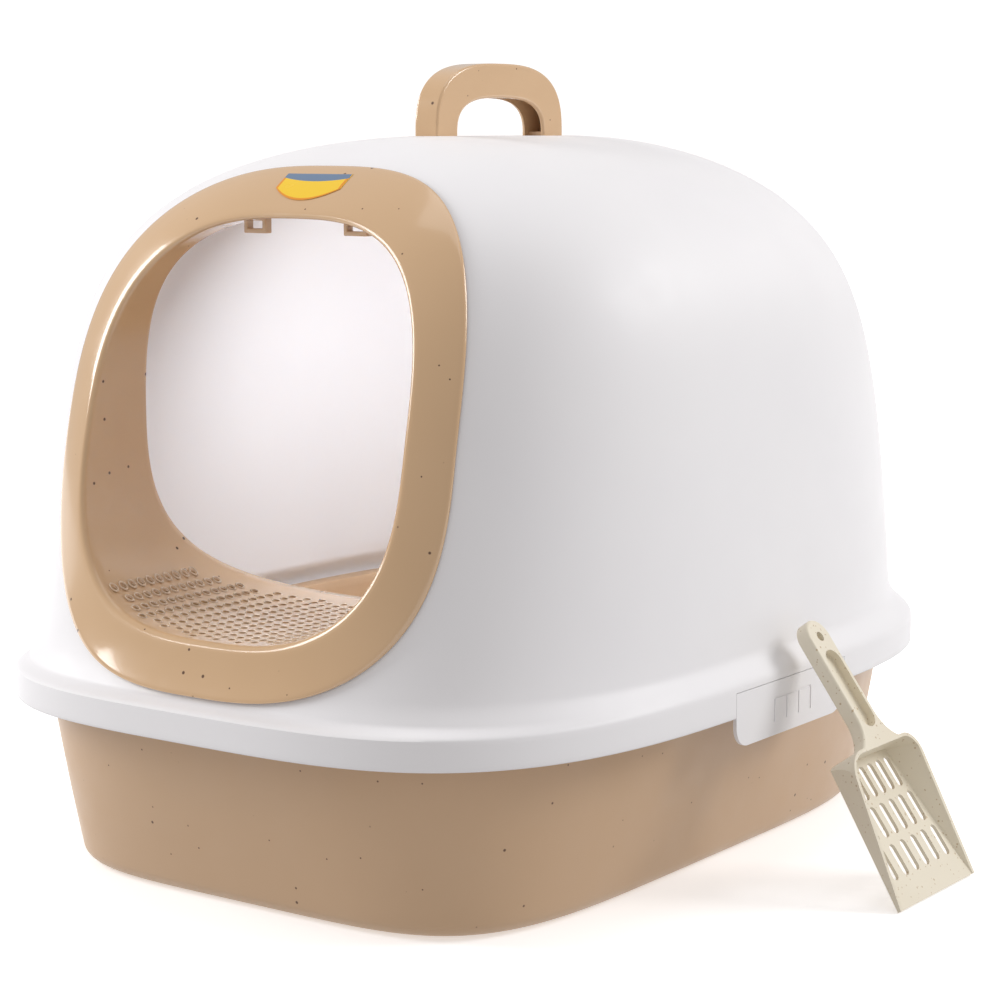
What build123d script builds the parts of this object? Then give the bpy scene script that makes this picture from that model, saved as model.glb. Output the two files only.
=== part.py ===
"""Hooded litter box: a tan tray, a white domed hood with a framed round entry and a carrying
handle, two snap latches on the skirt, and a slotted scoop that leans on the side.

Millimetres. The origin is the centre of the tray's flat base. +Z is up, the entry faces -Y.
"""

from build123d import *
import os
from math import cos, exp, pi, radians, sin, sqrt

# ---- overall ----
LENGTH = 560.0  # skirt, front to back
WIDTH = 426.0  # skirt, side to side
HEIGHT = 423.0  # floor to the top of the hood

# ---- tray ----
TRAY_FLOOR_INSET = 45.5  # foot of the tray wall, in from the widest line of the skirt
TRAY_RIM_INSET = 19.0  # tray wall just under the rim, from the same line
TRAY_WALL = 2.8
TRAY_FOOT_RADIUS = 9.0
RIM_HEIGHT = 118.4  # top of the rim flange
RIM_LIP_INSET = 8.0  # outside of the turned-down lip, in from the skirt
RIM_LIP_DROP = 9.0
RIM_THICKNESS = 2.4
TRAY_FLOOR_SQUARENESS = 4.9
TRAY_RIM_SQUARENESS = 3.7

# ---- hood ----
HOOD_WALL = 2.2
SKIRT_DROP = 17.4  # how far the skirt hangs below the rim flange
BAND_HEIGHT = 19.5  # upright band of the skirt
BAND_ROUND = 3.0  # the shoulder starts to turn in this far below the top of the band
DOME_LIFT = 1.6  # foot of the dome, above the rim flange
DOME_SIDE_POWERS = (6.9, 1.79)  # width = foot * (1 - rise ** first) ** (1 / second)
DOME_REAR_POWERS = (3.0, 5.5)
DOME_FRONT_POWERS = (7.4, 4.1)
DOME_REAR_TAPER = 0.01
DOME_FRONT_SWELL = 0.04  # the front face bows out by this share of its depth
DOME_FRONT_RAKE = 0.33  # and then leans back by this share
SHOULDER_SIDE = 8.5  # step from the skirt in to the dome, at the sides
SHOULDER_REAR = 18.5
SHOULDER_FRONT = 10.5
SHOULDER_RISE_SIDE = 16.0
SHOULDER_RISE_REAR = 25.0
SHOULDER_RISE_FRONT = 5.0
FRONT_FLARE = 19.4  # foot of the front face, swept forward to meet the shoulder
FRONT_FLARE_DECAY = 30.0
SKIRT_SQUARENESS = 3.45
DOME_REAR_SQUARENESS = 3.4  # just above the shoulder
DOME_CROWN_SQUARENESS = 2.12  # at the crown, where the rear half is rounder
DOME_FRONT_ROUNDING = 0.03  # how much less square the front is above the shoulder

# ---- entry ----
BEZEL_TOP_GAP = 16.6  # top of the bezel, below the top of the hood
BEZEL_FOOT_GAP = 6.2  # bottom of the bezel, above the rim flange
BEZEL_SIDE_GAP = 74.8  # side of the bezel, in from the side of the skirt
BEZEL_BAND_SIDE = 26.7
BEZEL_BAND_UPRIGHT = 28.6
BEZEL_THICKNESS = 2.0
ENTRY_SQUARENESS = 2.85
ENTRY_TAPER = -0.03  # change in half width from the middle of the entry to its top
TUNNEL_WALL = 2.4
TUNNEL_SETBACK = 97.0  # rear edge of the tunnel at mid height, from the front of the skirt
TREAD_LENGTH = 80.0  # how much further back the tunnel's floor runs
TREAD_FADE = 25.0  # height over which the extra length dies away
ROOF_LENGTH = 17.0  # how much further back the tunnel's roof runs
ROOF_POWER = 6
HOLE_DIAMETER = 3.8
HOLE_PITCH_LENGTH = 7.3
HOLE_PITCH_WIDTH = 8.2
HOLE_FIELD_SIDE = 25.5  # plain strip between the drain holes and the widest line of the entry
HOLE_FIELD_FRONT = 30.0  # first drain holes, behind the front of the skirt
HOLE_FIELD_MARGIN = 24.0  # plain lip behind the drain holes
LOOP_SPACING = 72.0
LOOP_WIDTH = 16.0
LOOP_DROP = 9.0
LOOP_DEPTH = 6.0
LOOP_BAR = 2.6

# ---- carrying handle ----
HANDLE_LENGTH = 130.0
HANDLE_WIDTH = 17.0
HANDLE_HEIGHT = 43.0
HANDLE_LEG = 20.5
HANDLE_TOP_BAND = 20.5
HANDLE_WALL = 2.4
HANDLE_CENTRE_Y = 5.0
PRONG_LENGTH = 9.0
PRONG_WIDTH = 8.0
PRONG_THICKNESS = 2.8
BARB = 1.6

# ---- latches ----
LATCH_LENGTH = 126.0
LATCH_CENTRE_Y = 7.0
LATCH_DROP = 17.0  # below the edge of the skirt
LATCH_FRONT_RADIUS = 12.0
LATCH_REAR_RADIUS = 15.5
LATCH_GAP = 0.4
LUG_LENGTH = 60.0
LUG_HEIGHT = 4.0
RIB_COUNT = 4
RIB_PITCH = 14.0
RIB_LENGTH = 13.0
RIB_WIDTH = 1.6
RIB_RISE = 4.0  # top of the ribs, above the edge of the skirt
RIB_RELIEF = 0.5
GROOVE_WIDTH = 1.2

# ---- label ----
LABEL_WIDTH = 46.0
LABEL_HEIGHT = 14.0
LABEL_THICKNESS = 0.3
LABEL_DROP = 4.4  # below the top of the bezel

# ---- scoop ----
SCOOP_LENGTH = 168.0
SCOOP_TIP_WIDTH = 93.0
SCOOP_FLOOR_WIDTH = 64.0  # bowl floor at its rear wall
SCOOP_RIM_WIDTH = 80.0  # bowl rim at its rear wall
SCOOP_CORNER_RADIUS = 16.0
SCOOP_BOWL_LENGTH = 88.0
SCOOP_BOWL_DEPTH = 20.0
SCOOP_TIP_DEPTH = 2.4
SCOOP_WALL = 2.0
SCOOP_HANDLE_WIDTH = 22.0
SCOOP_HANDLE_DEPTH = 9.0
SCOOP_HANG_HOLE = 6.0
SCOOP_SLOT_WIDTH = 6.0
SCOOP_SLOT_COLUMNS = 6
SCOOP_SLOT_ROWS = 3
SCOOP_SLOT_GAP = 4.0
SCOOP_LIP = 16.0  # plain strip behind the tip
SCOOP_NECK_RADIUS = 20.0
SCOOP_GROOVE_DEPTH = 5.0
SCOOP_LEAN = 36.0  # from upright, degrees
SCOOP_CENTRE_Y = 12.5
SCOOP_GAP = 0.6  # between the end of the handle and the upright line of the skirt

# ---- fits ----
CLEARANCE = 0.3

# ---- derived ----
SKIRT_EDGE = RIM_HEIGHT - SKIRT_DROP
SHOULDER_START = SKIRT_EDGE + BAND_HEIGHT - BAND_ROUND
DOME_FOOT = RIM_HEIGHT + DOME_LIFT
LATCH_BOTTOM = SKIRT_EDGE - LATCH_DROP
HINGE_HEIGHT = SHOULDER_START - 0.6 * HOOD_WALL - LATCH_GAP  # just below the inner wall's turn
BEZEL_TOP = HEIGHT - BEZEL_TOP_GAP
BEZEL_FOOT = RIM_HEIGHT + BEZEL_FOOT_GAP
BEZEL_CENTRE = (BEZEL_TOP + BEZEL_FOOT) / 2
BEZEL_HALF_HEIGHT = (BEZEL_TOP - BEZEL_FOOT) / 2
BEZEL_HALF_WIDTH = WIDTH / 2 - BEZEL_SIDE_GAP
ENTRY_HALF_WIDTH = BEZEL_HALF_WIDTH - BEZEL_BAND_SIDE
ENTRY_HALF_HEIGHT = BEZEL_HALF_HEIGHT - BEZEL_BAND_UPRIGHT
ENTRY_FLOOR = BEZEL_CENTRE - ENTRY_HALF_HEIGHT
ENTRY_ROOF = BEZEL_CENTRE + ENTRY_HALF_HEIGHT
SKIRT_FRONT = -LENGTH / 2
RING_POINTS = 40
CROWN_SHARE = 0.9985  # share of the dome's rise at which its flat crown starts


# ---- outlines ----
def superellipse(angle, square):
    """Point at a polar angle on a superellipse of unit half-axes."""
    scale = (abs(cos(angle)) ** square + abs(sin(angle)) ** square) ** (-1 / square)
    return scale * cos(angle), scale * sin(angle)


def closed_curve(points, directions):
    """Four smooth edges through the points, square to the axes where they meet."""
    quarter = len(points) // 4
    steps = [i / quarter for i in range(quarter + 1)]
    ring = points + points[:1]
    edges = []
    for i in range(4):
        run = ring[i * quarter : (i + 1) * quarter + 1]
        ends = [directions[i], directions[(i + 1) % 4]]
        edges.append(Edge.make_spline(run, tangents=ends, parameters=steps))
    return Wire(edges)


def oval(z, half_width, front, rear, square_front, square_rear):
    """Plan outline: a superellipse whose front and rear halves have their own depth."""
    points = []
    for i in range(RING_POINTS):
        angle = 2 * pi * i / RING_POINTS
        depth, square = (rear, square_rear) if sin(angle) >= 0 else (front, square_front)
        across_share, along_share = superellipse(angle, square)
        points.append((half_width * across_share, depth * along_share, z))
    return closed_curve(points, [(0, 1, 0), (-1, 0, 0), (0, -1, 0), (1, 0, 0)])


def egg(half_width, half_height, y):
    """Entry outline in an XZ plane, a little narrower towards the top."""
    points = []
    for i in range(RING_POINTS):
        angle = 2 * pi * i / RING_POINTS
        across_share, rise = superellipse(angle, ENTRY_SQUARENESS)
        x = half_width * across_share * (1 + ENTRY_TAPER * rise)
        points.append((x, y, BEZEL_CENTRE + half_height * rise))
    slope = ENTRY_TAPER * half_width / half_height
    return closed_curve(points, [(slope, 0, 1), (-1, 0, 0), (slope, 0, -1), (1, 0, 0)])


def egg_prism(half_width, half_height, start=SKIRT_FRONT - 20, end=0.0):
    """The entry outline swept straight back."""
    outline = Face(egg(half_width, half_height, start))
    return Solid.extrude(outline, Vector(0, end - start, 0))


def box(x0, x1, y0, y1, z0, z1):
    return Pos((x0 + x1) / 2, (y0 + y1) / 2, (z0 + z1) / 2) * Box(x1 - x0, y1 - y0, z1 - z0)


# ---- the hood's form ----
def ease(share):
    share = min(max(share, 0.0), 1.0)
    return share * share * (3 - 2 * share)


def dome_share(rise, powers):
    return (1 - rise ** powers[0]) ** (1 / powers[1])


def band_top(offset):
    """Top of the upright band on a surface grown outwards by an offset."""
    return SHOULDER_START + 0.6 * offset


def crown_height(offset):
    return DOME_FOOT + CROWN_SHARE * (HEIGHT + offset - DOME_FOOT)


def hood_section(z, offset, ledge=True):
    """Plan outline of the hood at a height, grown outwards by an offset."""
    top = HEIGHT + offset
    rise = min(max((z - DOME_FOOT) / (top - DOME_FOOT), 0.0), CROWN_SHARE)
    dome_side = WIDTH / 2 - SHOULDER_SIDE
    dome_rear = LENGTH / 2 - SHOULDER_REAR
    dome_front = LENGTH / 2 - SHOULDER_FRONT - FRONT_FLARE
    side = dome_side * dome_share(rise, DOME_SIDE_POWERS)
    rear = dome_rear * (1 - DOME_REAR_TAPER * rise) * dome_share(rise, DOME_REAR_POWERS)
    lean = 1 + DOME_FRONT_SWELL * rise - DOME_FRONT_RAKE * rise**2
    front = dome_front * lean * dome_share(rise, DOME_FRONT_POWERS)
    foot = max(z - DOME_FOOT - offset, 0.0)
    front += FRONT_FLARE * exp(-foot / FRONT_FLARE_DECAY)
    start = band_top(offset)
    if ledge:
        side += SHOULDER_SIDE * (1 - ease((z - start) / SHOULDER_RISE_SIDE))
        rear += SHOULDER_REAR * (1 - ease((z - start) / SHOULDER_RISE_REAR))
        front += SHOULDER_FRONT * (1 - ease((z - start) / SHOULDER_RISE_FRONT))
    blend = ease((z - start) / SHOULDER_RISE_REAR)
    dome_square = DOME_REAR_SQUARENESS + (DOME_CROWN_SQUARENESS - DOME_REAR_SQUARENESS) * rise
    square_front = SKIRT_SQUARENESS - DOME_FRONT_ROUNDING * blend
    square_rear = SKIRT_SQUARENESS + (dome_square - SKIRT_SQUARENESS) * blend
    return oval(z, side + offset, front + offset, rear + offset, square_front, square_rear)


def hood_levels(start, crown):
    """Heights of the hood's sections, close together where its profile bends most."""
    levels = [start]
    while levels[-1] < crown - 0.8:
        z = levels[-1]
        above_shoulder = max(z - start - SHOULDER_RISE_REAR, 0)
        levels.append(z + min(2.1 + 0.24 * above_shoulder, 24, 0.5 + 0.2 * (crown - z)))
    levels[-1] = crown
    return levels


def hood_form(offset, ledge=True, foot=2.0):
    """Solid bounded by the hood's surface moved outwards, from the latch tips to the crown."""
    start, crown = band_top(offset), crown_height(offset)
    base = LATCH_BOTTOM - foot
    band = Solid.extrude(Face(hood_section(start, offset, ledge)), Vector(0, 0, base - start))
    sections = [hood_section(z, offset, ledge) for z in hood_levels(start, crown)]
    return band + Solid.make_loft(sections)


CROWN = crown_height(0)


# ---- tray ----
def tray_section(z, inward):
    """Plan outline of the tray wall, which leans out from the floor to the rim."""
    share = z / RIM_HEIGHT
    inset = TRAY_FLOOR_INSET + (TRAY_RIM_INSET - TRAY_FLOOR_INSET) * share + inward
    square = TRAY_FLOOR_SQUARENESS + (TRAY_RIM_SQUARENESS - TRAY_FLOOR_SQUARENESS) * share
    half_width = WIDTH / 2 - inset
    half_length = LENGTH / 2 - inset
    return oval(z, half_width, half_length, half_length, square, square)


def tray_form(inward, floor, radius):
    """Tapered body of the tray, rounded along its foot."""
    steps = 4
    levels = [floor + (RIM_HEIGHT - floor) * i / steps for i in range(steps + 1)]
    body = Solid.make_loft([tray_section(z, inward) for z in levels])
    foot = body.faces().sort_by(Axis.Z)[0].edges()
    return fillet(foot, radius)


def rim_outline(inset, z):
    half_width = WIDTH / 2 - inset
    half_length = LENGTH / 2 - inset
    return Face(oval(z, half_width, half_length, half_length, SKIRT_SQUARENESS, SKIRT_SQUARENESS))


def litter_tray():
    """Open tray with a rounded foot and a rim that turns out and down."""
    outer = tray_form(0.0, 0.0, TRAY_FOOT_RADIUS)
    inner = tray_form(TRAY_WALL, TRAY_WALL, TRAY_FOOT_RADIUS - TRAY_WALL)
    flange_base = RIM_HEIGHT - RIM_THICKNESS
    flange = Solid.extrude(rim_outline(RIM_LIP_INSET, flange_base), Vector(0, 0, RIM_THICKNESS))
    lip_base = RIM_HEIGHT - RIM_LIP_DROP
    lip = Solid.extrude(rim_outline(RIM_LIP_INSET, lip_base), Vector(0, 0, RIM_LIP_DROP))
    bore = rim_outline(RIM_LIP_INSET + RIM_THICKNESS, lip_base - 1)
    lip -= Solid.extrude(bore, Vector(0, 0, RIM_LIP_DROP + 2))
    return outer + flange + lip - inner


# ---- latches ----
def latch_plan(grow, top):
    """Side view of a latch tab: straight top on the hinge line and two rounded lower corners."""
    y0 = LATCH_CENTRE_Y - LATCH_LENGTH / 2 - grow
    y1 = LATCH_CENTRE_Y + LATCH_LENGTH / 2 + grow
    z0 = LATCH_BOTTOM - grow
    front, rear = LATCH_FRONT_RADIUS + grow, LATCH_REAR_RADIUS + grow
    bulge = 1 - sqrt(0.5)
    edges = [
        Edge.make_line((0, y0, top), (0, y0, z0 + front)),
        Edge.make_three_point_arc((0, y0, z0 + front), (0, y0 + bulge * front, z0 + bulge * front),
                                  (0, y0 + front, z0)),
        Edge.make_line((0, y0 + front, z0), (0, y1 - rear, z0)),
        Edge.make_three_point_arc((0, y1 - rear, z0), (0, y1 - bulge * rear, z0 + bulge * rear),
                                  (0, y1, z0 + rear)),
        Edge.make_line((0, y1, z0 + rear), (0, y1, top)),
        Edge.make_line((0, y1, top), (0, y0, top)),
    ]
    return Face(Wire(edges))


def latch_prism(grow, top):
    return Solid.extrude(latch_plan(grow, top), Vector(WIDTH, 0, 0))


def latch_tab(skirt_shell):
    """Right-hand tab: the skirt's own wall, ribbed for the thumb, with a lug under the rim."""
    tab = skirt_shell & latch_prism(0.0, HINGE_HEIGHT - LATCH_GAP)
    face = WIDTH / 2
    lug_top = RIM_HEIGHT - RIM_LIP_DROP - CLEARANCE
    lug_reach = face - RIM_LIP_INSET + CLEARANCE
    y0 = LATCH_CENTRE_Y - LUG_LENGTH / 2
    y1 = LATCH_CENTRE_Y + LUG_LENGTH / 2
    tab += box(lug_reach, face - HOOD_WALL / 2, y0, y1, lug_top - LUG_HEIGHT, lug_top)
    low, high = SKIRT_EDGE + RIB_RISE - RIB_LENGTH, SKIRT_EDGE + RIB_RISE
    half = RIB_PITCH * (RIB_COUNT - 1) / 2
    bottom, outside = face - RIB_RELIEF, face + 1
    for i in range(RIB_COUNT):
        y = LATCH_CENTRE_Y - half + i * RIB_PITCH
        tab -= box(bottom, outside, y - RIB_WIDTH / 2, y + RIB_WIDTH / 2, low, high)
    y0, y1 = LATCH_CENTRE_Y - half, LATCH_CENTRE_Y + half
    return tab - box(bottom, outside, y0, y1, high, high + GROOVE_WIDTH)


# ---- handle ----
def arch(half_length, height, base):
    """Half superellipse standing on a base line, in the YZ plane."""
    steps = 24
    square = 2.9
    points = []
    for i in range(steps + 1):
        angle = pi * i / steps
        along_share, rise = superellipse(angle, square)
        points.append((0, HANDLE_CENTRE_Y + half_length * along_share, base + height * rise))
    top = Edge.make_spline(points)
    return Face(Wire([top, Edge.make_line(points[-1], points[0])]))


def across(face, width):
    """Extrude a YZ face symmetrically across X."""
    return Pos(-width / 2, 0, 0) * Solid.extrude(face, Vector(width, 0, 0))


def leg_places():
    offset = (HANDLE_LENGTH - HANDLE_LEG) / 2
    return [HANDLE_CENTRE_Y - offset, HANDLE_CENTRE_Y + offset]


def carry_handle():
    """Arched channel, open towards the hand, snapped into the crown by two barbed prongs."""
    outer = arch(HANDLE_LENGTH / 2, HANDLE_HEIGHT, CROWN)
    inner = arch(HANDLE_LENGTH / 2 - HANDLE_LEG, HANDLE_HEIGHT - HANDLE_TOP_BAND, CROWN)
    body = across(outer, HANDLE_WIDTH) - across(inner, HANDLE_WIDTH)
    body = fillet(body.edges().filter_by(GeomType.BSPLINE), 1.6)
    core = arch(HANDLE_LENGTH / 2 - HANDLE_WALL, HANDLE_HEIGHT - HANDLE_WALL, CROWN - 1)
    body -= across(core, HANDLE_WIDTH - 2 * HANDLE_WALL)
    under = CROWN - HOOD_WALL - CLEARANCE
    for y in leg_places():
        base = box(-HANDLE_WIDTH / 2, HANDLE_WIDTH / 2, y - 6, y + 6, CROWN, CROWN + HANDLE_WALL)
        half = PRONG_WIDTH / 2
        thick = PRONG_THICKNESS / 2
        prong = box(-half, half, y - thick, y + thick, under - PRONG_LENGTH, CROWN + HANDLE_WALL)
        barb = box(-half, half, y - thick - BARB, y + thick + BARB, under - 3.0, under)
        body += base + prong + barb
    return body


# ---- entry surround ----
def tunnel_rear(z):
    """Rear edge of the tunnel at a height: a tread at the floor, a short hood at the roof."""
    middle = SKIRT_FRONT + TUNNEL_SETBACK
    tread = TREAD_LENGTH * exp(-max(z - ENTRY_FLOOR, 0) / TREAD_FADE)
    roof = ROOF_LENGTH * max((z - BEZEL_CENTRE) / ENTRY_HALF_HEIGHT, 0) ** ROOF_POWER
    return middle + tread + roof


def tunnel_limit():
    """Everything in front of the tunnel's rear edge."""
    steps = 14
    low, high = ENTRY_FLOOR - 6, ENTRY_ROOF + 6
    heights = [low + (high - low) * i / steps for i in range(steps + 1)]
    edge = Edge.make_spline([(0, tunnel_rear(z), z) for z in heights])
    front = SKIRT_FRONT - 20
    rest = Polyline((0, tunnel_rear(high), high), (0, front, high), (0, front, low),
                    (0, tunnel_rear(low), low))
    side = Face(Wire([edge] + list(rest.edges())))
    return across(side, WIDTH)


def tread_holes():
    """Staggered drain holes through the tunnel's floor."""
    drill = Cylinder(HOLE_DIAMETER / 2, 16)
    columns = int((ENTRY_HALF_WIDTH - HOLE_FIELD_SIDE) / HOLE_PITCH_WIDTH)
    holes = []
    front = SKIRT_FRONT + HOLE_FIELD_FRONT
    for column in range(-columns, columns + 1):
        x = column * HOLE_PITCH_WIDTH
        share = abs(x) / ENTRY_HALF_WIDTH
        sag = (1 - share**ENTRY_SQUARENESS) ** (1 / ENTRY_SQUARENESS)
        floor = BEZEL_CENTRE - ENTRY_HALF_HEIGHT * sag
        start = front + (HOLE_PITCH_LENGTH / 2 if column % 2 else 0)
        end = tunnel_rear(floor) - HOLE_FIELD_MARGIN
        rows = int((end - start) / HOLE_PITCH_LENGTH)
        holes += [
            Pos(x, start + row * HOLE_PITCH_LENGTH, floor) * drill for row in range(rows + 1)
        ]
    return holes


def roof_loop(x):
    """Slotted tongue that hangs from the rear edge of the tunnel's roof."""
    half = LOOP_WIDTH / 2
    rear = tunnel_rear(ENTRY_ROOF)
    base = ENTRY_ROOF - LOOP_DROP
    frame = box(x - half, x + half, rear - LOOP_DEPTH, rear, base, ENTRY_ROOF + 1)
    slot = box(x - half + LOOP_BAR, x + half - LOOP_BAR, rear - LOOP_DEPTH - 1, rear + 1,
               base + LOOP_BAR, ENTRY_ROOF - LOOP_BAR)
    return frame - slot


def entry_surround(bezel_form, seat_form):
    """Bezel on the hood's face, a tunnel with a drained tread behind it, and two roof loops."""
    plate = bezel_form & egg_prism(BEZEL_HALF_WIDTH, BEZEL_HALF_HEIGHT, end=-60)
    plate -= seat_form
    wall = egg_prism(ENTRY_HALF_WIDTH + TUNNEL_WALL, ENTRY_HALF_HEIGHT + TUNNEL_WALL)
    tunnel = wall & bezel_form & tunnel_limit()
    body = plate + tunnel - egg_prism(ENTRY_HALF_WIDTH, ENTRY_HALF_HEIGHT)
    body -= tread_holes()
    return body + roof_loop(-LOOP_SPACING / 2) + roof_loop(LOOP_SPACING / 2)


# ---- label ----
def label_sticker():
    """Blank sticker on the top of the bezel: straight upper edge, bowed lower edge."""
    top = BEZEL_TOP - LABEL_DROP
    half = LABEL_WIDTH / 2
    shoulder = top - LABEL_HEIGHT * 0.55
    y = SKIRT_FRONT - 5
    outline = Wire([
        Edge.make_line((-half, y, shoulder), (-half, y, top)),
        Edge.make_line((-half, y, top), (half, y, top)),
        Edge.make_line((half, y, top), (half, y, shoulder)),
        Edge.make_three_point_arc((half, y, shoulder), (0, y, top - LABEL_HEIGHT),
                                  (-half, y, shoulder)),
    ])
    prism = Solid.extrude(Face(outline), Vector(0, LENGTH / 2, 0))
    skin = hood_form(BEZEL_THICKNESS + LABEL_THICKNESS, False)
    return (prism & skin) - hood_form(BEZEL_THICKNESS, False)


# ---- scoop ----
def bowl_section(u, half_floor, half_rim, low, high):
    """Trapezium across the bowl at a distance from the tip: narrow floor, wide rim."""
    points = [(low, -half_floor, u), (high, -half_rim, u), (high, half_rim, u),
              (low, half_floor, u)]
    return Wire.make_polygon(points, close=True)


def bowl_outline(inset, start, end):
    """Front view of the bowl, with its two rear corners rounded."""
    half = SCOOP_TIP_WIDTH / 2 - inset
    radius = SCOOP_CORNER_RADIUS - inset
    rear = SCOOP_RIM_WIDTH / 2 - inset
    points = [(-1, -half, start), (-1, half, start), (-1, rear, end), (-1, -rear, end)]
    face = Face(Wire.make_polygon(points, close=True))
    prism = Solid.extrude(face, Vector(4 * SCOOP_BOWL_DEPTH, 0, 0))
    corners = prism.edges().filter_by(Axis.X).sort_by(Axis.Z)[-2:]
    return fillet(corners, radius)


def scoop_bowl():
    length, wall = SCOOP_BOWL_LENGTH, SCOOP_WALL
    tip, floor, rim = SCOOP_TIP_WIDTH / 2, SCOOP_FLOOR_WIDTH / 2, SCOOP_RIM_WIDTH / 2
    outer = Solid.make_loft([
        bowl_section(0, tip - 0.5, tip, 0, SCOOP_TIP_DEPTH),
        bowl_section(length, floor, rim, 0, SCOOP_BOWL_DEPTH),
    ], ruled=True)
    inner = Solid.make_loft([
        bowl_section(0, tip - 0.5 - wall, tip - wall, wall, wall + SCOOP_TIP_DEPTH),
        bowl_section(length, floor - wall, rim - wall, wall, wall + SCOOP_BOWL_DEPTH),
    ], ruled=True)
    outer &= bowl_outline(0, 0, length)
    inner &= bowl_outline(wall, -1, length - wall)
    bowl = outer - inner
    row_length = (length - wall - SCOOP_LIP - SCOOP_SLOT_ROWS * SCOOP_SLOT_GAP) / SCOOP_SLOT_ROWS
    for row in range(SCOOP_SLOT_ROWS):
        middle = SCOOP_LIP + row_length / 2 + row * (row_length + SCOOP_SLOT_GAP)
        half_floor = tip + (floor - tip) * middle / length - wall - 2.0
        pitch = 2 * half_floor / SCOOP_SLOT_COLUMNS
        for column in range(SCOOP_SLOT_COLUMNS):
            y = -half_floor + pitch * (column + 0.5)
            slot = Plane.YZ * SlotOverall(row_length, SCOOP_SLOT_WIDTH, rotation=90)
            bowl -= Pos(0, y, middle) * extrude(slot, wall * 2, both=True)
    return bowl


def scoop_handle():
    """Flat channelled grip that flares into the bowl's rear wall."""
    half, end, neck = SCOOP_HANDLE_WIDTH / 2, SCOOP_LENGTH, SCOOP_NECK_RADIUS
    low = SCOOP_BOWL_DEPTH - SCOOP_HANDLE_DEPTH
    start = SCOOP_BOWL_LENGTH - SCOOP_WALL
    bend = neck * (1 - sqrt(0.5))
    edges = [
        Edge.make_line((low, -half - neck, start), (low, half + neck, start)),
        Edge.make_three_point_arc((low, half + neck, start), (low, half + bend, start + bend),
                                  (low, half, start + neck)),
        Edge.make_line((low, half, start + neck), (low, half, end - half)),
        Edge.make_three_point_arc((low, half, end - half), (low, 0, end), (low, -half, end - half)),
        Edge.make_line((low, -half, end - half), (low, -half, start + neck)),
        Edge.make_three_point_arc((low, -half, start + neck), (low, -half - bend, start + bend),
                                  (low, -half - neck, start)),
    ]
    grip = Solid.extrude(Face(Wire(edges)), Vector(SCOOP_HANDLE_DEPTH, 0, 0))
    grip = fillet(grip.edges().filter_by(GeomType.LINE).filter_by(Axis.Z), 1.5)
    groove_start = start + neck * 0.6
    groove_end = end - 2 * half + 2
    groove = Plane.YZ * SlotOverall(groove_end - groove_start, SCOOP_HANDLE_WIDTH - 7, rotation=90)
    cutter = extrude(groove, SCOOP_GROOVE_DEPTH)
    grip -= Pos(SCOOP_BOWL_DEPTH - SCOOP_GROOVE_DEPTH, 0, (groove_start + groove_end) / 2) * cutter
    hole = Pos(SCOOP_BOWL_DEPTH, 0, end - half) * Rot(0, 90, 0)
    return grip - hole * Cylinder(SCOOP_HANG_HOLE / 2, 4 * SCOOP_HANDLE_DEPTH)


def scoop():
    """Slotted scoop on its tip, leaning towards the skirt just outside its upright line."""
    lean = radians(SCOOP_LEAN)
    back = SCOOP_BOWL_DEPTH - SCOOP_HANDLE_DEPTH
    tip_x = WIDTH / 2 + SCOOP_GAP + SCOOP_LENGTH * sin(lean) - back * cos(lean)
    body = scoop_bowl() + scoop_handle()
    return Pos(tip_x, SCOOP_CENTRE_Y, 0) * Rot(0, -SCOOP_LEAN, 0) * body


# ---- hood ----
def hood_shell(shell, latch_slot):
    """Dome and skirt in one wall, open at the entry, the latches and the handle's prongs."""
    hood = shell & box(-WIDTH, WIDTH, -LENGTH, LENGTH, SKIRT_EDGE, HEIGHT + 10)
    hood = hood - latch_slot - mirror(latch_slot, about=Plane.YZ)
    grow = TUNNEL_WALL + CLEARANCE
    hood -= egg_prism(ENTRY_HALF_WIDTH + grow, ENTRY_HALF_HEIGHT + grow)
    half = PRONG_WIDTH / 2 + CLEARANCE
    depth = PRONG_THICKNESS / 2 + CLEARANCE
    for y in leg_places():
        hood -= box(-half, half, y - depth, y + depth, CROWN - 3 * HOOD_WALL, CROWN + 1)
    return hood


def build_parts():
    shell = hood_form(0.0) - hood_form(-HOOD_WALL, foot=4.0)
    tab = latch_tab(shell)
    return {
        "litter_tray": litter_tray(),
        "hood_shell": hood_shell(shell, latch_prism(LATCH_GAP, HINGE_HEIGHT)),
        "entry_surround": entry_surround(hood_form(BEZEL_THICKNESS, False), hood_form(CLEARANCE)),
        "carry_handle": carry_handle(),
        "latch_tab_right": tab,
        "latch_tab_left": mirror(tab, about=Plane.YZ),
        "label_sticker": label_sticker(),
        "litter_scoop": scoop(),
    }


os.makedirs("parts", exist_ok=True)
for name, solid in build_parts().items():
    export_step(solid, f"parts/{name}.step")
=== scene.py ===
"""Hooded litter box: smooth moulded shells over the CAD frame, plastics, studio and camera."""

import math

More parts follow.
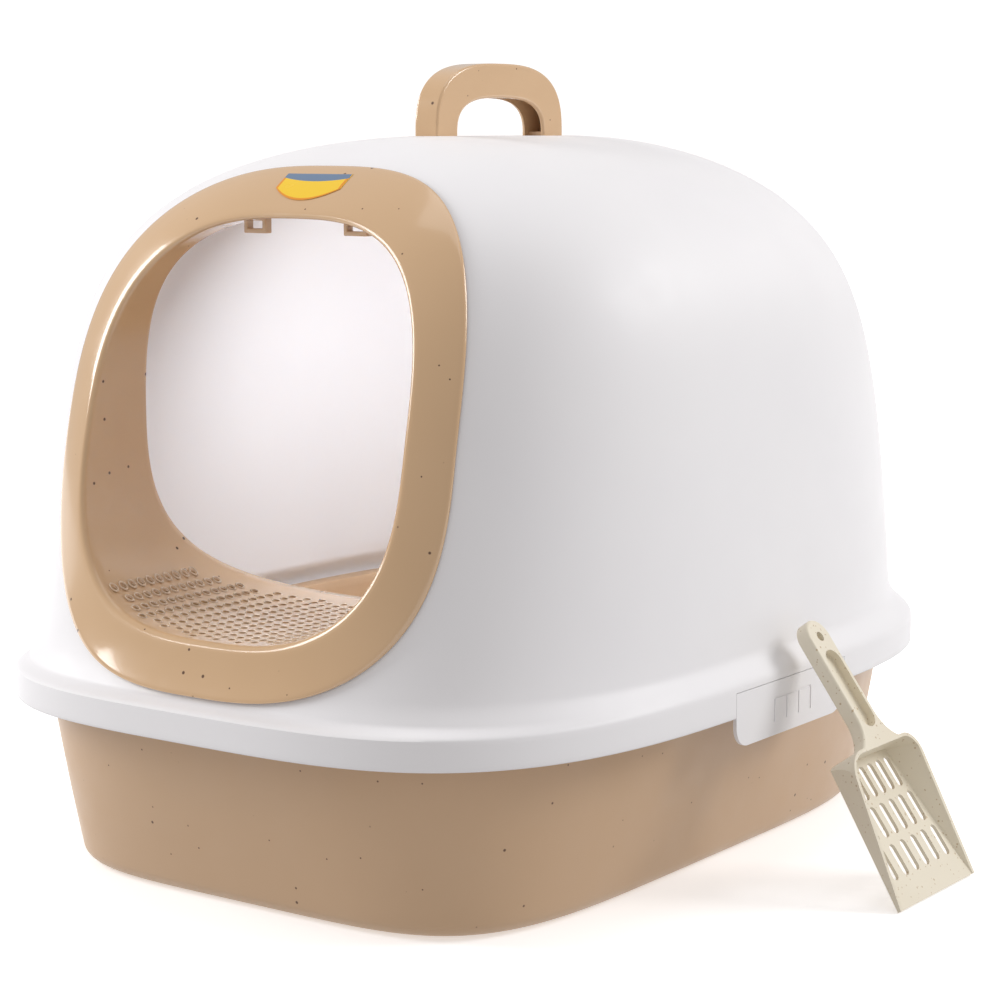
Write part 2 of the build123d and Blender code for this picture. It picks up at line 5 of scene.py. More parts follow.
import bmesh
import bpy
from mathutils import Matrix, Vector


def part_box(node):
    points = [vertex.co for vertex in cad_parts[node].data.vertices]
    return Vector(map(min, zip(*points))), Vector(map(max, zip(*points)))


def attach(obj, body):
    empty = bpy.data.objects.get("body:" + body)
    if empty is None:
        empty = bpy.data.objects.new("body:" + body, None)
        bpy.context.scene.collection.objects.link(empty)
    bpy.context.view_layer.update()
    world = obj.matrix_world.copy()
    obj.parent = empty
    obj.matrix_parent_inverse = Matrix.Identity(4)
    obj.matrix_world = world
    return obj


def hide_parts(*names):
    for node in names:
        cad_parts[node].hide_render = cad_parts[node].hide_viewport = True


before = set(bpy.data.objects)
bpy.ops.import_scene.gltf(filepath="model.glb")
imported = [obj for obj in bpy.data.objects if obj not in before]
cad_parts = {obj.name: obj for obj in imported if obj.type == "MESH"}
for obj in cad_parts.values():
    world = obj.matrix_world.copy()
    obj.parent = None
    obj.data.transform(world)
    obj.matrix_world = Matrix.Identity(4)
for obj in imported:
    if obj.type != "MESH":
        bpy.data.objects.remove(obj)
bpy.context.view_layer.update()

MM = 0.001
TURN = 2 * math.pi

# ---- sizes of the moulded forms, in millimetres, from the CAD frame where it holds them ----
hood_low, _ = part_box("hood_shell")
_, tray_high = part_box("litter_tray")
LENGTH = 560.0
WIDTH = 426.0
HEIGHT = 423.0
RIM_HEIGHT = tray_high.z / MM
SKIRT_EDGE = hood_low.z / MM
SHOULDER_START = SKIRT_EDGE + 16.5
SHOULDER_SIDE, SHOULDER_REAR, SHOULDER_FRONT = 8.5, 18.5, 10.5
SHOULDER_RISES = {"side": 16, "rear": 25, "front": 5}
FRONT_FLARE, FRONT_FLARE_DECAY = 19.4, 30
SKIRT_SQUARE = 3.45
DOME_SIDE_POWERS = (6.9, 1.79)
DOME_REAR_POWERS = (3, 5.5)
DOME_FRONT_POWERS = (7.4, 4.1)
WALL = 2.2
CROWN_SHARE = 0.9985
CROWN_CENTRE_Y = 20.0
DOME_FOOT = RIM_HEIGHT + 1.6
SKIRT_FRONT = -LENGTH / 2
BEZEL_TOP = HEIGHT - 16.6
BEZEL_FOOT = RIM_HEIGHT + 6.2
BEZEL_CENTRE = (BEZEL_TOP + BEZEL_FOOT) / 2
BEZEL_HALF_HEIGHT = (BEZEL_TOP - BEZEL_FOOT) / 2
BEZEL_HALF_WIDTH = 138.2
BEZEL_BAND = 27.5
BEZEL_PROUD = 2.0
BEZEL_INNER_RADIUS = 4.2
ENTRY_HALF_WIDTH = 111.5
ENTRY_HALF_HEIGHT = BEZEL_HALF_HEIGHT - 28.6
ENTRY_FLOOR = BEZEL_CENTRE - ENTRY_HALF_HEIGHT
ENTRY_ROOF = BEZEL_CENTRE + ENTRY_HALF_HEIGHT
ENTRY_SQUARE = 2.85
ENTRY_TAPER = 0.03
TUNNEL_SETBACK, TREAD_LENGTH, TREAD_FADE, ROOF_LENGTH = 97, 80, 25, 17
TUNNEL_WALL = 2.4
HOLE_RADIUS = 1.9
HOLE_PITCH_LENGTH, HOLE_PITCH_WIDTH = 7.3, 8.2
HOLE_FIELD_HALF_WIDTH, HOLE_FIELD_FRONT, HOLE_FIELD_MARGIN = 86.0, 30.0, 24.0
HOLE_SIDES = 14
LATCH_CENTRE_Y, LATCH_HALF_LENGTH, LATCH_DROP = 7.0, 63.0, 17.0
LATCH_FRONT_RADIUS, LATCH_REAR_RADIUS, LATCH_GAP = 12.0, 15.5, 0.4
LATCH_TOP = SHOULDER_START - 0.6 * WALL - LATCH_GAP
TRAY_FLOOR_INSET, TRAY_RIM_INSET, TRAY_WALL, TRAY_FOOT_RADIUS = 45.5, 19.0, 2.8, 9.0
RIM_THICKNESS, LIP_OUTER_INSET, LIP_INNER_INSET, LIP_DEPTH, LIP_ROUND = 2.4, 8.0, 10.4, 9.0, 0.4
LABEL_HALF_WIDTH, LABEL_HEIGHT, LABEL_DROP = 23.0, 14.0, 4.4
LABEL_FACE, LABEL_BACK = BEZEL_PROUD + 0.3, BEZEL_PROUD + 0.02
LABEL_END_SHARE, LABEL_BAND_SHARE = 0.55, 0.27
LOOP_HALF_SPACING, LOOP_HALF_WIDTH, LOOP_BAR = 36.0, 8.0, 2.6
LOOP_DROP, LOOP_SUNK, LOOP_LENGTH = 9.0, 0.6, 6.0
RING_COUNT = 288


# ---- form ----
def superellipse(angle, square):
    c, s = math.cos(angle), math.sin(angle)
    scale = (abs(c) ** square + abs(s) ** square) ** (-1 / square)
    return scale * c, scale * s


def ease(share):
    share = min(max(share, 0.0), 1.0)
    return share * share * (3 - 2 * share)


def dome_share(rise, powers):
    """How much of a half width is left at a share of the dome's height."""
    return (1 - rise ** powers[0]) ** (1 / powers[1])


def hood_axes(z, offset, ledge=True):
    """Half width, front and rear depth and their squareness at a height."""
    top = HEIGHT + offset
    rise = min(max((z - DOME_FOOT) / (top - DOME_FOOT), 0.0), CROWN_SHARE)
    side = (WIDTH / 2 - SHOULDER_SIDE) * dome_share(rise, DOME_SIDE_POWERS)
    rear = (LENGTH / 2 - SHOULDER_REAR) * (1 - 0.01 * rise)
    rear *= dome_share(rise, DOME_REAR_POWERS)
    front = LENGTH / 2 - SHOULDER_FRONT - FRONT_FLARE
    front *= (1 + 0.04 * rise - 0.33 * rise**2) * dome_share(rise, DOME_FRONT_POWERS)
    front += FRONT_FLARE * math.exp(-max(z - DOME_FOOT - offset, 0) / FRONT_FLARE_DECAY)
    start = SHOULDER_START + 0.6 * offset
    turned = {key: ease((z - start) / rise_mm) for key, rise_mm in SHOULDER_RISES.items()}
    if ledge:
        side += SHOULDER_SIDE * (1 - turned["side"])
        rear += SHOULDER_REAR * (1 - turned["rear"])
        front += SHOULDER_FRONT * (1 - turned["front"])
    square_front = SKIRT_SQUARE - 0.03 * turned["rear"]
    square_rear = SKIRT_SQUARE + (3.4 - 1.28 * rise - SKIRT_SQUARE) * turned["rear"]
    return side + offset, front + offset, rear + offset, square_front, square_rear


def oval(z, side, front, rear, square_front, square_rear, count):
    points = []
    for i in range(count):
        angle = TURN * i / count
        back = math.sin(angle) >= 0
        x, y = superellipse(angle, square_rear if back else square_front)
        points.append((side * x, (rear if back else front) * y, z))
    return points


def front_y(x, z, offset):
    """Y of the dome's front face, without its shoulder, at a place seen from the front."""
    side, front, _, square, _ = hood_axes(z, offset, False)
    share = min(abs(x) / side, 0.999)
    return -front * (1 - share**square) ** (1 / square)


def egg_point(angle, half_width, half_height):
    x, rise = superellipse(angle, ENTRY_SQUARE)
    return half_width * x * (1 - ENTRY_TAPER * rise), BEZEL_CENTRE + half_height * rise


def tunnel_rear(z):
    tread = TREAD_LENGTH * math.exp(-max(z - ENTRY_FLOOR, 0) / TREAD_FADE)
    roof = ROOF_LENGTH * max((z - BEZEL_CENTRE) / ENTRY_HALF_HEIGHT, 0) ** 6
    return SKIRT_FRONT + TUNNEL_SETBACK + tread + roof


# ---- meshes ----
def new_object(name, points, faces, sharp=40.0):
    mesh = bpy.data.meshes.new(name)
    mesh.from_pydata([Vector(p) * MM for p in points], [], faces)
    obj = bpy.data.objects.new(name, mesh)
    bpy.context.scene.collection.objects.link(obj)
    finish_mesh(obj, sharp)
    return obj


def finish_mesh(obj, sharp):
    form = bmesh.new()
    form.from_mesh(obj.data)
    bmesh.ops.recalc_face_normals(form, faces=form.faces)
    form.to_mesh(obj.data)
    form.free()
    obj.data.shade_smooth()
    obj.data.set_sharp_from_angle(angle=math.radians(sharp))


def ring_faces(first, second, count):
    return [
        (first + i, first + (i + 1) % count, second + (i + 1) % count, second + i)
        for i in range(count)
    ]


def pole_loft(name, rings, start, end, sharp=40.0):
    """Rings joined in order and closed by a point at each end."""
    count = len(rings[0])
    points = [start] + [p for ring in rings for p in ring] + [end]
    faces = [(0, 1 + (i + 1) % count, 1 + i) for i in range(count)]
    for r in range(len(rings) - 1):
        faces += ring_faces(1 + r * count, 1 + (r + 1) * count, count)
    last, tail = 1 + (len(rings) - 1) * count, len(points) - 1
    faces += [(last + i, last + (i + 1) % count, tail) for i in range(count)]
    return new_object(name, points, faces, sharp)


def loop_loft(name, rings, sharp=40.0):
    """Closed rings joined in order, and the last to the first."""
    count = len(rings[0])
    points = [p for ring in rings for p in ring]
    faces = []
    for r in range(len(rings)):
        faces += ring_faces(r * count, (r + 1) % len(rings) * count, count)
    return new_object(name, points, faces, sharp)


def cut(obj, cutters, sharp=40.0):
    """Subtract the cutters and keep the result as the object's own mesh."""
    for cutter in cutters:
        step = obj.modifiers.new("cut", "BOOLEAN")
        step.operation, step.solver, step.object = "DIFFERENCE", "EXACT", cutter
    bpy.context.view_layer.update()
    evaluated = obj.evaluated_get(bpy.context.evaluated_depsgraph_get())
    mesh = bpy.data.meshes.new_from_object(evaluated)
    obj.modifiers.clear()
    obj.data = mesh
    mesh.name = obj.name
    finish_mesh(obj, sharp)
    for cutter in cutters:
        bpy.data.objects.remove(cutter)


def prism(name, outline, direction):
    """Closed outline swept by a vector."""
    count = len(outline)
    moved = [tuple(a + b for a, b in zip(p, direction)) for p in outline]
    faces = ring_faces(0, count, count)
    faces += [tuple(range(count)), tuple(reversed(range(count, 2 * count)))]
    return new_object(name, outline + moved, faces)


# ---- hood ----
def hood_levels(start, crown):
    levels = [start]
    while levels[-1] < crown - 0.12:
        z = levels[-1]
        above = max(z - SHOULDER_START - 25, 0)
        levels.append(z + min(1.0 + 0.05 * above, 4.0, 0.05 + 0.12 * (crown - z)))
    levels[-1] = crown
    return levels


def hood_rings(offset, count):
    """Rings of one surface of the hood, from just above the skirt's edge to the crown."""
    crown = DOME_FOOT + CROWN_SHARE * (HEIGHT + offset - DOME_FOOT)
    start = SHOULDER_START + 0.6 * offset
    low = SKIRT_EDGE + WALL / 2
    heights = [low + (start - low) * i / 6 for i in range(6)]
    heights += hood_levels(start, crown)
    rings = [oval(z, *hood_axes(z, offset), count) for z in heights]
    centre = (0, CROWN_CENTRE_Y, crown)
    for share in (0.8, 0.6, 0.4, 0.2):
        ring = rings[len(heights) - 1]
        rings.append([tuple(c + (p - c) * share for p, c in zip(q, centre)) for q in ring])
    return rings, centre


def hood_piece():
    count = RING_COUNT
    outer, top = hood_rings(0.0, count)
    inner, under = hood_rings(-WALL, count)
    lip = []
    for i in range(1, 6):
        angle = math.pi * i / 6
        offset = -WALL / 2 + WALL / 2 * math.cos(angle)
        z = SKIRT_EDGE + WALL / 2 - WALL / 2 * math.sin(angle)
        lip.append(oval(z, *hood_axes(z, offset), count))
    shell = pole_loft("hood_dome", outer[::-1] + lip + inner, top, under)
    grow = TUNNEL_WALL + 0.3
    outline = []
    for i in range(160):
        x, z = egg_point(TURN * i / 160, ENTRY_HALF_WIDTH + grow, ENTRY_HALF_HEIGHT + grow)
        outline.append((x, SKIRT_FRONT - 20, z))
    cutters = [prism("entry_cut", outline, (0, 280, 0))]
    for side in (-1, 1):
        outline = [(side * 170, y, z) for y, z in latch_outline(LATCH_GAP, LATCH_TOP)]
        cutters.append(prism("latch_cut", outline, (side * 80, 0, 0)))
    cut(shell, cutters)
    return shell


def latch_outline(grow, top):
    """Side view of a latch's opening, as (y, z)."""
    y0 = LATCH_CENTRE_Y - LATCH_HALF_LENGTH - grow
    y1 = LATCH_CENTRE_Y + LATCH_HALF_LENGTH + grow
    base = SKIRT_EDGE - LATCH_DROP - grow
    front, rear = LATCH_FRONT_RADIUS + grow, LATCH_REAR_RADIUS + grow
    points = [(y1, top), (y0, top)]
    for i in range(13):
        angle = math.pi / 2 * i / 12
        points.append((y0 + front * (1 - math.cos(angle)), base + front * (1 - math.sin(angle))))
    for i in range(13):
        angle = math.pi / 2 * i / 12
        points.append((y1 - rear * (1 - math.sin(angle)), base + rear * (1 - math.cos(angle))))
    return points


# ---- tray ----
def tray_piece():
    """Open tray: underside, foot, wall, turned-down rim, inner wall and floor, in that order."""
    count = RING_COUNT

    def ring(inset, z, square=None):
        share = z / RIM_HEIGHT
        square = square or 4.9 - 1.2 * share
        side, depth = WIDTH / 2 - inset, LENGTH / 2 - inset
        return oval(z, side, depth, depth, square, square, count)

    def wall_inset(z):
        return TRAY_FLOOR_INSET + (TRAY_RIM_INSET - TRAY_FLOOR_INSET) * z / RIM_HEIGHT

    radius = TRAY_FOOT_RADIUS
    rings = [ring(wall_inset(0) + radius + extra, 0.0) for extra in (120, 90, 60, 30, 8, 0)]
    for i in range(1, 9):
        angle = math.pi / 2 * i / 8
        z = radius * (1 - math.cos(angle))
        rings.append(ring(wall_inset(z) + radius * (1 - math.sin(angle)), z))
    under = RIM_HEIGHT - RIM_THICKNESS
    steps = 24
    for i in range(1, steps + 1):
        z = radius + (under - 1.0 - radius) * i / steps
        rings.append(ring(wall_inset(z), z))
    rings.append(ring(wall_inset(under) - 1.0, under, 3.6))
    lip, foot = SKIRT_SQUARE, RIM_HEIGHT - LIP_DEPTH
    rings += [ring(LIP_INNER_INSET + 0.2, under, lip), ring(LIP_INNER_INSET, under - 0.3, lip)]
    rings += [ring(LIP_INNER_INSET, foot + LIP_ROUND, lip)]
    rings += [ring(LIP_INNER_INSET - LIP_ROUND, foot, lip)]
    rings += [ring(LIP_OUTER_INSET + LIP_ROUND, foot, lip)]
    rings += [ring(LIP_OUTER_INSET, foot + LIP_ROUND, lip)]
    rings += [ring(LIP_OUTER_INSET, RIM_HEIGHT - 1.0, lip)]
    rings += [ring(LIP_OUTER_INSET + 0.3, RIM_HEIGHT - 0.3, lip)]
    rings += [ring(LIP_OUTER_INSET + 1.0, RIM_HEIGHT, lip)]
    rings += [ring(TRAY_RIM_INSET + 1.0, RIM_HEIGHT), ring(TRAY_RIM_INSET + 2.4, RIM_HEIGHT - 0.4)]
    for i in range(steps):
        z = RIM_HEIGHT - 1.5 - (RIM_HEIGHT - 1.5 - radius) * i / steps
        rings.append(ring(wall_inset(z) + TRAY_WALL, z))
    inner = radius - TRAY_WALL
    for i in range(9):
        angle = math.pi / 2 * i / 8
        z = TRAY_WALL + inner * (1 - math.sin(angle))
        rings.append(ring(wall_inset(z) + TRAY_WALL + inner * (1 - math.cos(angle)), z))
    floor_inset = wall_inset(TRAY_WALL) + radius
    rings += [ring(floor_inset + extra, TRAY_WALL) for extra in (8, 30, 60, 90, 120)]
    return pole_loft("tray_shell", rings, (0, 0, 0.0), (0, 0, TRAY_WALL))


# ---- entry surround ----
def surround_ring(angle):
    """Closed section through the bezel and the tunnel wall at one place round the entry."""
    band = BEZEL_BAND

    def place(across, depth):
        share = across / band
        half_width = BEZEL_HALF_WIDTH + (ENTRY_HALF_WIDTH - BEZEL_HALF_WIDTH) * share
        half_height = BEZEL_HALF_HEIGHT + (ENTRY_HALF_HEIGHT - BEZEL_HALF_HEIGHT) * share
        x, z = egg_point(angle, half_width, half_height)
        return x, front_y(x, z, BEZEL_PROUD) + depth, z

    points = [place(0.0, 1.7), place(0.0, 1.0), place(0.2, 0.4), place(0.7, 0.1)]
    for i in range(1, 13):
        across = 0.7 + (band - 5.2) * i / 12
        points.append(place(across, 0.0))
    radius = BEZEL_INNER_RADIUS
    for i in range(1, 9):
        turn = math.pi / 2 * i / 8
        across = band - radius + radius * math.sin(turn)
        points.append(place(across, radius * (1 - math.cos(turn))))
    x, y, z = points[-1]
    rear = tunnel_rear(z)
    for i in range(1, 17):
        points.append((x, y + (rear - 1.0 - y) * i / 16, z))
    wall = TUNNEL_WALL
    for i in range(1, 5):
        turn = math.pi * i / 4
        wx, _, wz = place(band - wall * (1 - math.cos(turn)) / 2, 0.0)
        points.append((wx, rear - 1.0 + math.sin(turn), wz))
    x, y, z = points[-1]
    start = place(band - wall, 1.7)[1] + 0.5
    for i in range(1, 9):
        points.append((x, y + (start - y) * i / 8, z))
    for i in range(1, 8):
        points.append(place((band - wall) * (1 - i / 8), 1.7))
    return points


def tread_places():
    """Staggered drain holes: place and the floor's slope there."""
    places = []
    columns = int(HOLE_FIELD_HALF_WIDTH / HOLE_PITCH_WIDTH)
    for column in range(-columns, columns + 1):
        x = column * HOLE_PITCH_WIDTH
        share = abs(x) / ENTRY_HALF_WIDTH
        floor = BEZEL_CENTRE - ENTRY_HALF_HEIGHT * (1 - share**ENTRY_SQUARE) ** (1 / ENTRY_SQUARE)
        start = SKIRT_FRONT + HOLE_FIELD_FRONT + (HOLE_PITCH_LENGTH / 2 if column % 2 else 0)
        rows = int((tunnel_rear(floor) - HOLE_FIELD_MARGIN - start) / HOLE_PITCH_LENGTH)
        slope = math.copysign(
            share ** (ENTRY_SQUARE - 1) * (1 - share**ENTRY_SQUARE) ** (1 / ENTRY_SQUARE - 1)
            * ENTRY_HALF_HEIGHT / ENTRY_HALF_WIDTH, x)
        clear = front_y(x, floor, BEZEL_PROUD) + 9.0
        for row in range(rows + 1):
            y = start + row * HOLE_PITCH_LENGTH
            if y > clear:
                places.append((x, y, floor, slope))
    return places


def hole_cutter(places):
    """One mesh of upright pegs, one at each hole."""
    points, faces = [], []
    sides = HOLE_SIDES
    for x, y, z, _ in places:
        base = len(points)
        for height in (z - 8, z + 8):
            for i in range(sides):
                angle = TURN * i / sides
                dx, dy = HOLE_RADIUS * math.cos(angle), HOLE_RADIUS * math.sin(angle)
                points.append((x + dx, y + dy, height))
        faces += [tuple(base + i for i in range(sides))]
        faces += [tuple(base + 2 * sides - 1 - i for i in range(sides))]
        faces += [
            (base + i, base + (i + 1) % sides, base + sides + (i + 1) % sides, base + sides + i)
            for i in range(sides)
        ]
    return new_object("hole_cut", points, faces)


def hole_rims(places):
    """Low raised collar round each drain hole."""
    points, faces = [], []
    sides = HOLE_SIDES
    profile = [(HOLE_RADIUS, -0.3), (2.0, 0.12), (2.3, 0.24), (2.65, 0.12), (2.85, -0.3)]
    for x, y, z, slope in places:
        base = len(points)
        for radius, height in profile:
            for i in range(sides):
                angle = TURN * i / sides
                dx = radius * math.cos(angle)
                points.append((x + dx, y + radius * math.sin(angle), z + height + slope * dx))
        for r in range(len(profile)):
            first, second = base + r * sides, base + (r + 1) % len(profile) * sides
            faces += ring_faces(first, second, sides)
    return new_object("tread_hole_rims", points, faces, 60)


def surround_piece():
    count = 240
    sections = [surround_ring(TURN * i / count) for i in range(count)]
    body = loop_loft("entry_bezel", sections)
    cut(body, [hole_cutter(tread_places())])
    return body


# ---- label ----
def label_piece():
    """Sticker on the bezel: a grid on its surface, with borders and a top band by face."""
    half, height = LABEL_HALF_WIDTH, LABEL_HEIGHT
    top = BEZEL_TOP - LABEL_DROP
    wide, tall = 60, 28

    def outline(u, v):
        low = height * (LABEL_END_SHARE + (1 - LABEL_END_SHARE) * (1 - u * u))
        return half * u, top - low * v

    points, faces, kinds = [], [], []
    for offset in (LABEL_FACE, LABEL_BACK):
        for j in range(tall + 1):
            for i in range(wide + 1):
                x, z = outline(-1 + 2 * i / wide, j / tall)
                points.append((x, front_y(x, z, offset), z))
    row, size = wide + 1, (wide + 1) * (tall + 1)
    for j in range(tall):
        for i in range(wide):
            a = j * row + i
            faces.append((a, a + 1, a + row + 1, a + row))
            border = i < 2 or i >= wide - 2 or j >= tall - 2
            kinds.append(2 if j < tall * LABEL_BAND_SHARE else (1 if border else 0))
            faces.append((a + size, a + size + row, a + size + row + 1, a + size + 1))
            kinds.append(0)
    edge = list(range(row)) + [j * row + wide for j in range(1, tall + 1)]
    edge += [tall * row + i for i in range(wide - 1, -1, -1)]
    edge += [j * row for j in range(tall - 1, 0, -1)]
    for i, a in enumerate(edge):
        b = edge[(i + 1) % len(edge)]
        faces.append((a, b, b + size, a + size))
        kinds.append(0)
    obj = new_object("label_film", points, faces)
    return obj, kinds


# ---- loops under the tunnel's roof ----
def loop_piece(name, x):
    """Slotted tongue under the rear edge of the tunnel's roof."""
    rear = tunnel_rear(ENTRY_ROOF)
    half, bar = LOOP_HALF_WIDTH, LOOP_BAR
    low, high = ENTRY_ROOF - LOOP_DROP, ENTRY_ROOF + LOOP_SUNK
    outer = [(x - half, low), (x + half, low), (x + half, high), (x - half, high)]
    inner = [(x - half + bar, low + bar), (x + half - bar, low + bar),
             (x + half - bar, high - bar), (x - half + bar, high - bar)]
    points = [(px, y, pz) for y in (rear - LOOP_LENGTH, rear - 0.4) for px, pz in outer + inner]
    faces = []
    for i in range(4):
        j = (i + 1) % 4
        faces += [(i, j, 4 + j, 4 + i), (8 + i, 12 + i, 12 + j, 8 + j)]
        faces += [(i, 8 + i, 8 + j, j), (4 + i, 4 + j, 12 + j, 12 + i)]
    obj = new_object(name, points, faces)
    round_off = obj.modifiers.new("round", "BEVEL")
    round_off.width, round_off.segments = 0.0006, 3
    return obj


# ---- materials ----
def material(name):
    made = bpy.data.materials.new(name)
    made.use_nodes = True
    nodes, links = made.node_tree.nodes, made.node_tree.links
    shader = nodes["Principled BSDF"]
    place = nodes.new("ShaderNodeTexCoord").outputs["Object"]
    return made, nodes, links, shader, place


def noise(nodes, links, place, scale, detail=3.0):
    texture = nodes.new("ShaderNodeTexNoise")
    texture.inputs["Scale"].default_value = scale
    texture.inputs["Detail"].default_value = detail
    links.new(place, texture.inputs["Vector"])
    return texture.outputs["Fac"]


def ramp(nodes, links, value, low, high, to_low, to_high):
    step = nodes.new("ShaderNodeMapRange")
    step.inputs["From Min"].default_value = low
    step.inputs["From Max"].default_value = high
    step.inputs["To Min"].default_value = to_low
    step.inputs["To Max"].default_value = to_high
    links.new(value, step.inputs["Value"])
    return step.outputs["Result"]


def mixed(nodes, links, factor, first, second):
    mix = nodes.new("ShaderNodeMix")
    mix.data_type = "RGBA"
    links.new(factor, mix.inputs["Factor"])
    for socket, value in ((mix.inputs["A"], first), (mix.inputs["B"], second)):
        if isinstance(value, tuple):
            socket.default_value = (*value, 1.0)
        else:
            links.new(value, socket)
    return mix.outputs["Result"]


def speckle(nodes, links, place, scale, radius, share):
    """1 inside small round grains that lie in a share of the cells."""
    cells = nodes.new("ShaderNodeTexVoronoi")
    cells.inputs["Scale"].default_value = scale
    links.new(place, cells.inputs["Vector"])
    grain = ramp(nodes, links, cells.outputs["Distance"], radius * 0.7, radius, 1.0, 0.0)
    split = nodes.new("ShaderNodeSeparateColor")
    links.new(cells.outputs["Color"], split.inputs["Color"])
    keep = nodes.new("ShaderNodeMath")
    keep.operation = "LESS_THAN"
    keep.inputs[1].default_value = share
    links.new(split.outputs["Red"], keep.inputs[0])
    both = nodes.new("ShaderNodeMath")
    both.operation = "MULTIPLY"
    links.new(grain, both.inputs[0])
    links.new(keep.outputs["Value"], both.inputs[1])
    return both.outputs["Value"]


def bump(nodes, links, shader, height, strength, distance):
    step = nodes.new("ShaderNodeBump")
    step.inputs["Strength"].default_value = strength
    step.inputs["Distance"].default_value = distance
    links.new(height, step.inputs["Height"])
    links.new(step.outputs["Normal"], shader.inputs["Normal"])


def plastic(name, colour, shade, rough, grains=(), grain_colour=(0.12, 0.06, 0.03),
            texture=(700.0, 0.03), coat=0.0, soft=0.0):
    """Moulded plastic: slow colour drift, uneven gloss, fine surface and optional grains."""
    made, nodes, links, shader, place = material(name)
    drift = ramp(nodes, links, noise(nodes, links, place, 9.0), 0.3, 0.7, 0.0, 1.0)
    tone = mixed(nodes, links, drift, colour, shade)
    for scale, radius, share in grains:
        spots = speckle(nodes, links, place, scale, radius, share)
        tone = mixed(nodes, links, spots, tone, grain_colour)
    links.new(tone, shader.inputs["Base Color"])
    gloss = ramp(nodes, links, noise(nodes, links, place, 40.0), 0.3, 0.7, rough[0], rough[1])
    links.new(gloss, shader.inputs["Roughness"])
    shader.inputs["IOR"].default_value = 1.46
    shader.inputs["Coat Weight"].default_value = coat
    shader.inputs["Coat Roughness"].default_value = 0.08
    if soft:
        shader.inputs["Subsurface Weight"].default_value = soft
        shader.inputs["Subsurface Radius"].default_value = (0.004, 0.004, 0.004)
    bump(nodes, links, shader, noise(nodes, links, place, texture[0], 2.0), texture[1], 0.0004)
    return made


HOOD_WHITE = plastic("hood_white", (0.85, 0.84, 0.855), (0.83, 0.82, 0.84), (0.44, 0.54),
                     texture=(900.0, 0.05))
TRAY_TAN = plastic("tray_tan", (0.58, 0.39, 0.24), (0.55, 0.365, 0.22), (0.30, 0.42),
                   [(70.0, 0.08, 0.30), (130.0, 0.08, 0.14)], texture=(600.0, 0.06))
TRIM_TAN = plastic("trim_tan", (0.66, 0.44, 0.255), (0.63, 0.415, 0.235), (0.13, 0.20),
                   [(70.0, 0.08, 0.35), (130.0, 0.08, 0.16)], texture=(500.0, 0.03), coat=0.5)
# painted highlight: the drain-hole collars are moulded with the trim but get a lighter, glossier
# tan, standing in for light catching them
TREAD_RIM_PAINTED_HIGHLIGHT = plastic("tread_rim_painted_highlight", (0.72, 0.55, 0.39), (0.66, 0.49, 0.34), (0.18, 0.28), coat=0.3)
SCOOP_CREAM = plastic("scoop_cream", (0.80, 0.74, 0.61), (0.75, 0.68, 0.54), (0.38, 0.5),
                      [(260.0, 0.20, 0.30), (480.0, 0.24, 0.25)], (0.55, 0.43, 0.28),
                      texture=(900.0, 0.08))
LABEL_YELLOW = plastic("label_yellow", (0.93, 0.62, 0.03), (0.90, 0.58, 0.03), (0.2, 0.3))
LABEL_ORANGE = plastic("label_orange", (0.80, 0.30, 0.02), (0.76, 0.28, 0.02), (0.2, 0.3))
LABEL_BLUE = plastic("label_blue", (0.16, 0.24, 0.36), (0.14, 0.21, 0.33), (0.2, 0.3))


def dress(obj, *materials):
    obj.data.materials.clear()
    for entry in materials:
        obj.data.materials.append(entry)
    return obj


def place_piece(obj, body, slot, *replaced):
    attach(obj, body)
    if replaced:
        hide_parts(*replaced)


# ---- pieces ----
hood = dress(hood_piece(), HOOD_WHITE)
place_piece(hood, "hood", "hood_white", "hood_shell")
tray = dress(tray_piece(), TRAY_TAN)
place_piece(tray, "tray", "tray_tan", "litter_tray")
surround = dress(surround_piece(), TRIM_TAN)
place_piece(surround, "hood", "trim_tan", "entry_surround")
# the drain-hole collars wear the lighter tan, a painted highlight
rims = dress(hole_rims(tread_places()), TREAD_RIM_PAINTED_HIGHLIGHT)
place_piece(rims, "hood", "trim_tan")
label, label_kinds = label_piece()
dress(label, LABEL_YELLOW, LABEL_ORANGE, LABEL_BLUE)
for face, kind in zip(label.data.polygons, label_kinds):
    face.material_index = kind
place_piece(label, "hood", "label_film", "label_sticker")

for loop_name, loop_x in (("roof_loop_left", -LOOP_HALF_SPACING),
                         ("roof_loop_right", LOOP_HALF_SPACING)):
    loop = dress(loop_piece(loop_name, loop_x), TRIM_TAN)
    place_piece(loop, "hood", "trim_tan")

for node, finish in (("carry_handle", TRIM_TAN), ("latch_tab_right", HOOD_WHITE),
                     ("latch_tab_left", HOOD_WHITE), ("litter_scoop", SCOOP_CREAM)):
    dress(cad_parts[node], finish)


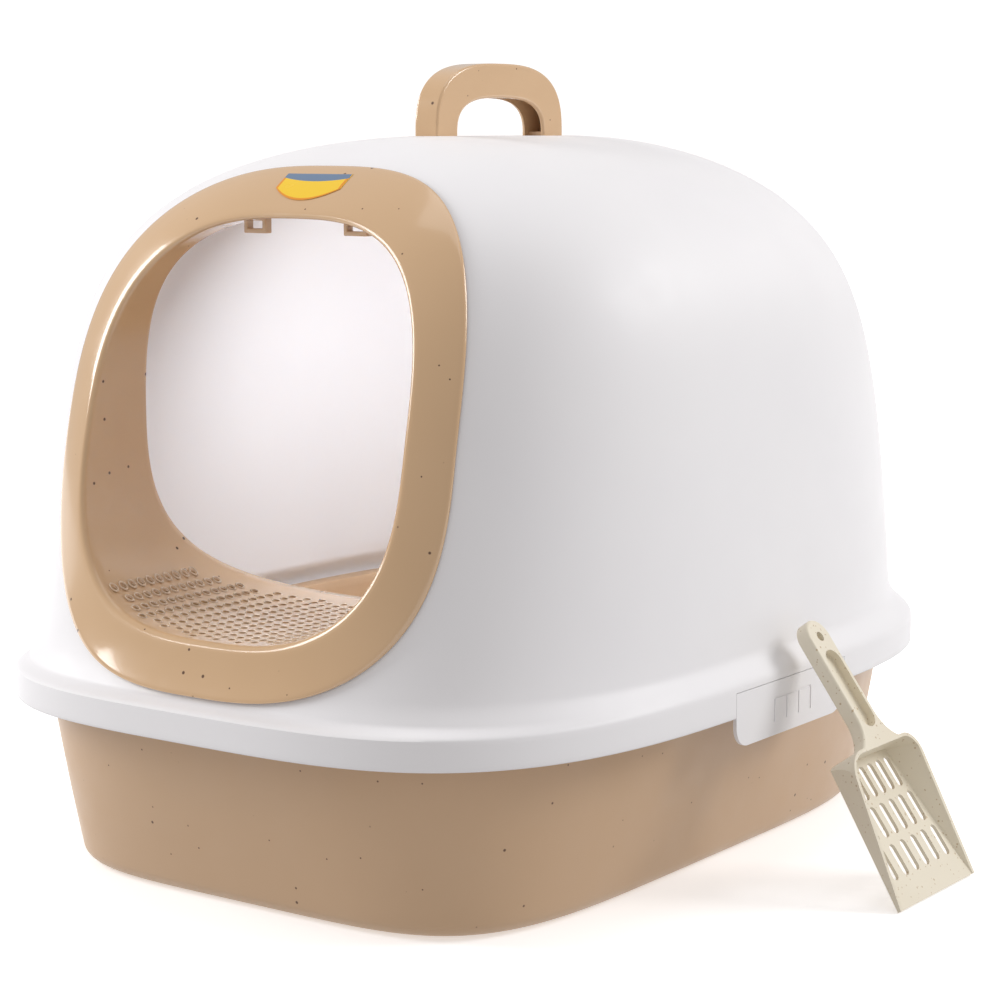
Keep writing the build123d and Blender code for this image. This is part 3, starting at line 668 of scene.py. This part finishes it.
# ---- studio ----
def floor_piece():
    bpy.ops.mesh.primitive_plane_add(size=24.0, location=(0, 0, -0.0005))
    floor = bpy.context.object
    floor.name = "studio_floor"
    made, nodes, links, shader, spot = material("studio_floor")
    distance = nodes.new("ShaderNodeVectorMath")
    distance.operation = "LENGTH"
    links.new(spot, distance.inputs[0])
    # painted light: the floor glows, weakest (0.42) within 0.5 m of the centre and rising to full
    # strength 2.2 m out
    painted_floor_glow = ramp(nodes, links, distance.outputs["Value"], 0.5, 2.2, 0.42, 1.0)
    links.new(painted_floor_glow, shader.inputs["Emission Strength"])
    shader.inputs["Base Color"].default_value = (0.93, 0.93, 0.94, 1)
    shader.inputs["Roughness"].default_value = 0.6
    shader.inputs["Specular IOR Level"].default_value = 0.2
    shader.inputs["Emission Color"].default_value = (1, 1, 1, 1)
    floor.data.materials.append(made)
    floor.visible_diffuse = False


def area_light(name, place, target, size, power, colour=(1, 1, 1)):
    data = bpy.data.lights.new(name, "AREA")
    data.shape = "RECTANGLE"
    data.size, data.size_y = size
    data.energy, data.color = power, colour
    light = bpy.data.objects.new(name, data)
    bpy.context.scene.collection.objects.link(light)
    light.location = place
    aim = Vector(target) - Vector(place)
    light.rotation_euler = aim.to_track_quat("-Z", "Y").to_euler()
    light.visible_camera = False
    return light


floor_piece()
area_light("key_left", (-2.2, -1.1, 1.3), (0, -0.1, 0.2), (1.2, 1.2), 43)
area_light("key_right", (2.0, 1.5, 1.7), (0, 0, 0.2), (1.2, 1.2), 36)
area_light("top", (0.0, 0.2, 2.4), (0, 0, 0.2), (1.6, 1.6), 9)
area_light("inside", (0.0, -0.04, 0.36), (0, 0.16, 0.18), (0.10, 0.10), 0.75, (0.90, 0.95, 1.0))

world = bpy.data.worlds.new("studio")
bpy.context.scene.world = world
world.use_nodes = True
sky = world.node_tree.nodes["Background"]
sky.inputs["Color"].default_value = (1.0, 0.975, 0.965, 1)
backdrop = world.node_tree.nodes.new("ShaderNodeLightPath")
level = world.node_tree.nodes.new("ShaderNodeMapRange")
level.inputs["To Min"].default_value = 0.58
level.inputs["To Max"].default_value = 1.1
world.node_tree.links.new(backdrop.outputs["Is Camera Ray"], level.inputs["Value"])
world.node_tree.links.new(level.outputs["Result"], sky.inputs["Strength"])

# ---- camera, fitted to the photograph's outline ----
CAMERA_PLACE = (0.930, -1.285, 0.428)
CAMERA_DOWN, CAMERA_TURN = 8.172, 35.588
CAMERA_LENS = 93.6
camera_data = bpy.data.cameras.new("camera")
camera_data.sensor_width = 36.0
camera_data.lens = CAMERA_LENS
camera = bpy.data.objects.new("camera", camera_data)
bpy.context.scene.collection.objects.link(camera)
camera.location = CAMERA_PLACE
camera.rotation_euler = (math.radians(90 - CAMERA_DOWN), 0, math.radians(CAMERA_TURN))
bpy.context.scene.camera = camera
bpy.context.scene.view_settings.view_transform = "Standard"
